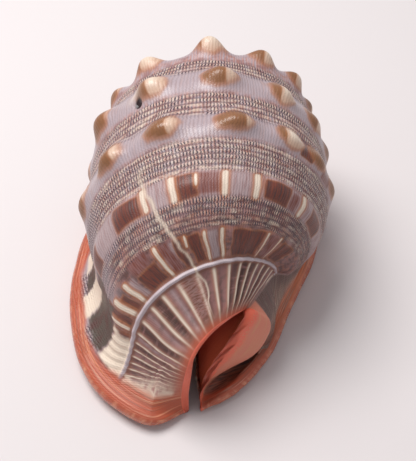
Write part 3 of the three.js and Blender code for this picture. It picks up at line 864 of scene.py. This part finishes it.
apron_paint = painted(
    CREAM,
    (ROSE, ease(mottle(4, 6), 0.4, 0.65)),
    (STREAK_BROWN, times(ease(edge_grain(1.3, 1.2), 0.56, 0.7), 0.5)),
)
lip_paint = painted(
    ORANGE,
    (PALE_ORANGE, times(ease(edge_grain(0.9, 0.35), 0.5, 0.66), 0.75)),
    (STREAK_BROWN, times(ease(edge_grain(1.8, 0.5, 2), 0.52, 0.66), 0.6)),
)
trough_paint = painted(
    STREAK_BROWN,
    (UMBER, ease(edge_grain(0.9, 2.5), 0.42, 0.62)),
    (ORANGE, ease(edge_grain(1.8, 1.2), 0.5, 0.75)),
)
rim_paint = painted(
    TAN,
    (ORANGE, ease(mark("station"), 6.4, 8.4)),
    (STREAK_BROWN, times(ease(edge_grain(0.7, 0.9, 4), 0.46, 0.66), 0.8)),
    (CREAM, times(ease(edge_grain(1.1, 0.8), 0.56, 0.7), 0.4)),
)
shield_paint = painted(
    SHIELD_BROWN,
    (MOSS, ease(mottle(2, 30, 4), 0.42, 0.6)),
    (CREAM, times(ease(mottle(3, 60), 0.52, 0.66), 0.8)),
    # Painted shade: umber over the shield in the crevice beside the body.
    (UMBER, times(mark("crevice_shade"), 0.75)),
    (trough_paint, mark("trough")),
    (rim_paint, mark("shield_rim")),
    (over(SALMON, PALE_ORANGE, ease(mottle(1.5, 34, 4), 0.46, 0.66)), mark("leaf")),
)
under_paint = painted(
    ORANGE,
    (PALE_ORANGE, ease(broad, 0.4, 0.75)),
    (UMBER, mark("tooth_gap")),
    (TOOTH, mark("tooth_top")),
)
# Painted shade and light in the hollow: ink deep inside where shade falls, then the brightened red, and a
# painted glow near the mouth.
hollow_shade_and_glow = painted(
    INK,
    (DEEP_RED, ease(mark("canal"), 0.3, 0.75)),
    (PAINTED_GLOW, ease(mark("canal"), 0.8, 0.97)),
)

# All the layers, from the ground up.
skin_colour = painted(
    ROSE,
    (SATIN, ease(streaky, 0.4, 0.6)),
    (MAUVE, times(ease(mottle(9, 8), 0.42, 0.62), 0.7)),
    (RUST, times(ease(broad, 0.54, 0.68), 0.6)),
    (band_paint, times(mark("brown_band"), 0.85)),
    (RUST, times(ease(chance, 0.72, 0.86), mark("corded"), 0.4)),
    (CREAM, times(ease(chance, 0.62, 0.45), mark("corded"), 0.5)),
    (CREAM, times(cord_top, cord_cream)),
    (spire_paint, mark("spire")),
    (over(LILAC, MAUVE, ease(streaky, 0.42, 0.7)), mark("band_row")),
    (over(SATIN, LILAC, ease(streaky, 0.4, 0.7)), mark("satin")),
    (SATIN, times(mark("worn_left"), 0.6)),
    (over(LILAC, MAUVE, ease(streaky, 0.45, 0.8)), mark("lilac")),
    (over(MAUVE, CHESTNUT, ease(streaky, 0.35, 0.7)), mark("brown")),
    (over(CHESTNUT, UMBER, ease(streaky, 0.4, 0.65)), ease(mark("chestnut"), 0.25, 0.8)),
    (CAP_EDGE, times(border("chestnut"), 1.44)),
    (CAP_EDGE, times(border("cream"), 2.72)),
    (IVORY, ease(mark("cream"), 0.35, 0.85)),
    (cap_paint, mark("cap")),
    (CAP_EDGE, times(border("cap"), 1.8)),
    (DASH, cord_line),
    (DASH, times(dashes, where_dark)),
    (DASH, lattice),
    (fan_paint, mark("fan")),
    (apron_paint, times(mark("apron"), 0.85)),
    (KEEL_BROWN, times(mark("keel_side"), 0.8)),
    (KEEL_PALE, ease(mark("keel_mark"), 0.3, 0.6)),
    (over(RUST, ORANGE, ease(mark("canal_blush"), 0.5, 1.0)), times(mark("canal_blush"), 0.9)),
    (over(OLIVE, UMBER, ease(broad, 0.4, 0.7)), mark("lip_dark")),
    (IVORY, mark("lip_cream")),
    (lip_paint, mark("lip_orange")),
    (shield_paint, mark("shield_side")),
    (under_paint, mark("under")),
    # The hollow's painted shade and painted glow.
    (hollow_shade_and_glow, mark("hollow")),
    (over(DEEP_RED, PALE_ORANGE, ease(mottle(40, 40), 0.5, 0.7)), mark("rim_edge")),
    (IVORY, times(mark("scar_line"), 0.85)),
    (CHALK_WHITE, times(mark("chalk"), 0.8)),
    (INK, ease(mark("pit"), 0.2, 0.6)),
)
place(skin_colour, porcelain.inputs["Base Color"])

# The gloss: satin rows are smoother, and the callus underneath is polished under a clear coat.
porcelain.inputs["Specular IOR Level"].default_value = SPECULAR
porcelain.inputs["Coat Roughness"].default_value = COAT_ROUGHNESS
place(calc("MULTIPLY_ADD", mark("under"), 0.35, 0.08), porcelain.inputs["Coat Weight"])
roughness = calc("MULTIPLY_ADD", mark("satin"), -0.12, calc("MULTIPLY_ADD", fine_grain, 0.2, 0.36))
place(calc("MULTIPLY_ADD", mark("under"), -0.2, roughness), porcelain.inputs["Roughness"])
groove_depth = times(groove, calc("MULTIPLY_ADD", mark("corded"), -0.7, -0.3))
growth_lines = times(edge_grain(1.3, 0.4, 2), mark("lined"), 1.6)
height = calc("ADD", calc("ADD", groove_depth, times(fine_grain, 0.35)), growth_lines)
fine_relief = tree.nodes.new("ShaderNodeBump")
fine_relief.inputs["Strength"].default_value = BUMP_STRENGTH
fine_relief.inputs["Distance"].default_value = BUMP_DISTANCE
place(height, fine_relief.inputs["Height"])
place(fine_relief.outputs["Normal"], porcelain.inputs["Normal"])
mesh.materials.append(glaze)

# The plain pale floor that the shell rests on, under a soft studio light from the upper left. The
# camera looks down at the canal.
FLOOR_HALF, FLOOR_COLOUR, FLOOR_ROUGHNESS = 3.0, (0.72, 0.66, 0.65, 1), 0.8
SKY_COLOUR, SKY_STRENGTH = (0.93, 0.95, 1, 1), 0.46
LAMP_SIZE, LAMP_WATTS, LAMP_AT, LAMP_TO = 0.55, 8, (-0.3, 0.2, 0.82), (0, 0, 0.03)
EYE, LOOK_AT, LENS_MM = (0.0032, -0.2937, 0.3752), (0.0022, -0.0062, 0.042), 82.6

floor_mesh = bpy.data.meshes.new("floor")
corners = [(-1, -1), (1, -1), (1, 1), (-1, 1)]
floor_mesh.from_pydata([(x * FLOOR_HALF, y * FLOOR_HALF, 0) for x, y in corners], [], [(0, 1, 2, 3)])
floor = bpy.data.objects.new("floor", floor_mesh)
bpy.context.scene.collection.objects.link(floor)
floor_paint = bpy.data.materials.new("floor")
floor_paint.use_nodes = True
floor_shader = floor_paint.node_tree.nodes["Principled BSDF"]
floor_shader.inputs["Base Color"].default_value = FLOOR_COLOUR
floor_shader.inputs["Roughness"].default_value = FLOOR_ROUGHNESS
floor_mesh.materials.append(floor_paint)

studio = bpy.data.worlds.new("studio")
studio.use_nodes = True
studio.node_tree.nodes["Background"].inputs["Color"].default_value = SKY_COLOUR
studio.node_tree.nodes["Background"].inputs["Strength"].default_value = SKY_STRENGTH
bpy.context.scene.world = studio
bpy.context.scene.view_settings.view_transform = "Standard"
lamp = bpy.data.objects.new("window_light", bpy.data.lights.new("window_light", "AREA"))
lamp.data.size = LAMP_SIZE
lamp.data.energy = LAMP_WATTS
lamp.location = LAMP_AT
lamp.rotation_euler = (Vector(LAMP_TO) - lamp.location).to_track_quat("-Z", "Y").to_euler()
bpy.context.scene.collection.objects.link(lamp)

camera = bpy.data.objects.new("camera", bpy.data.cameras.new("camera"))
camera.data.lens = LENS_MM
camera.location = EYE
camera.rotation_euler = (Vector(LOOK_AT) - Vector(EYE)).to_track_quat("-Z", "Y").to_euler()
bpy.context.scene.collection.objects.link(camera)
bpy.context.scene.camera = camera
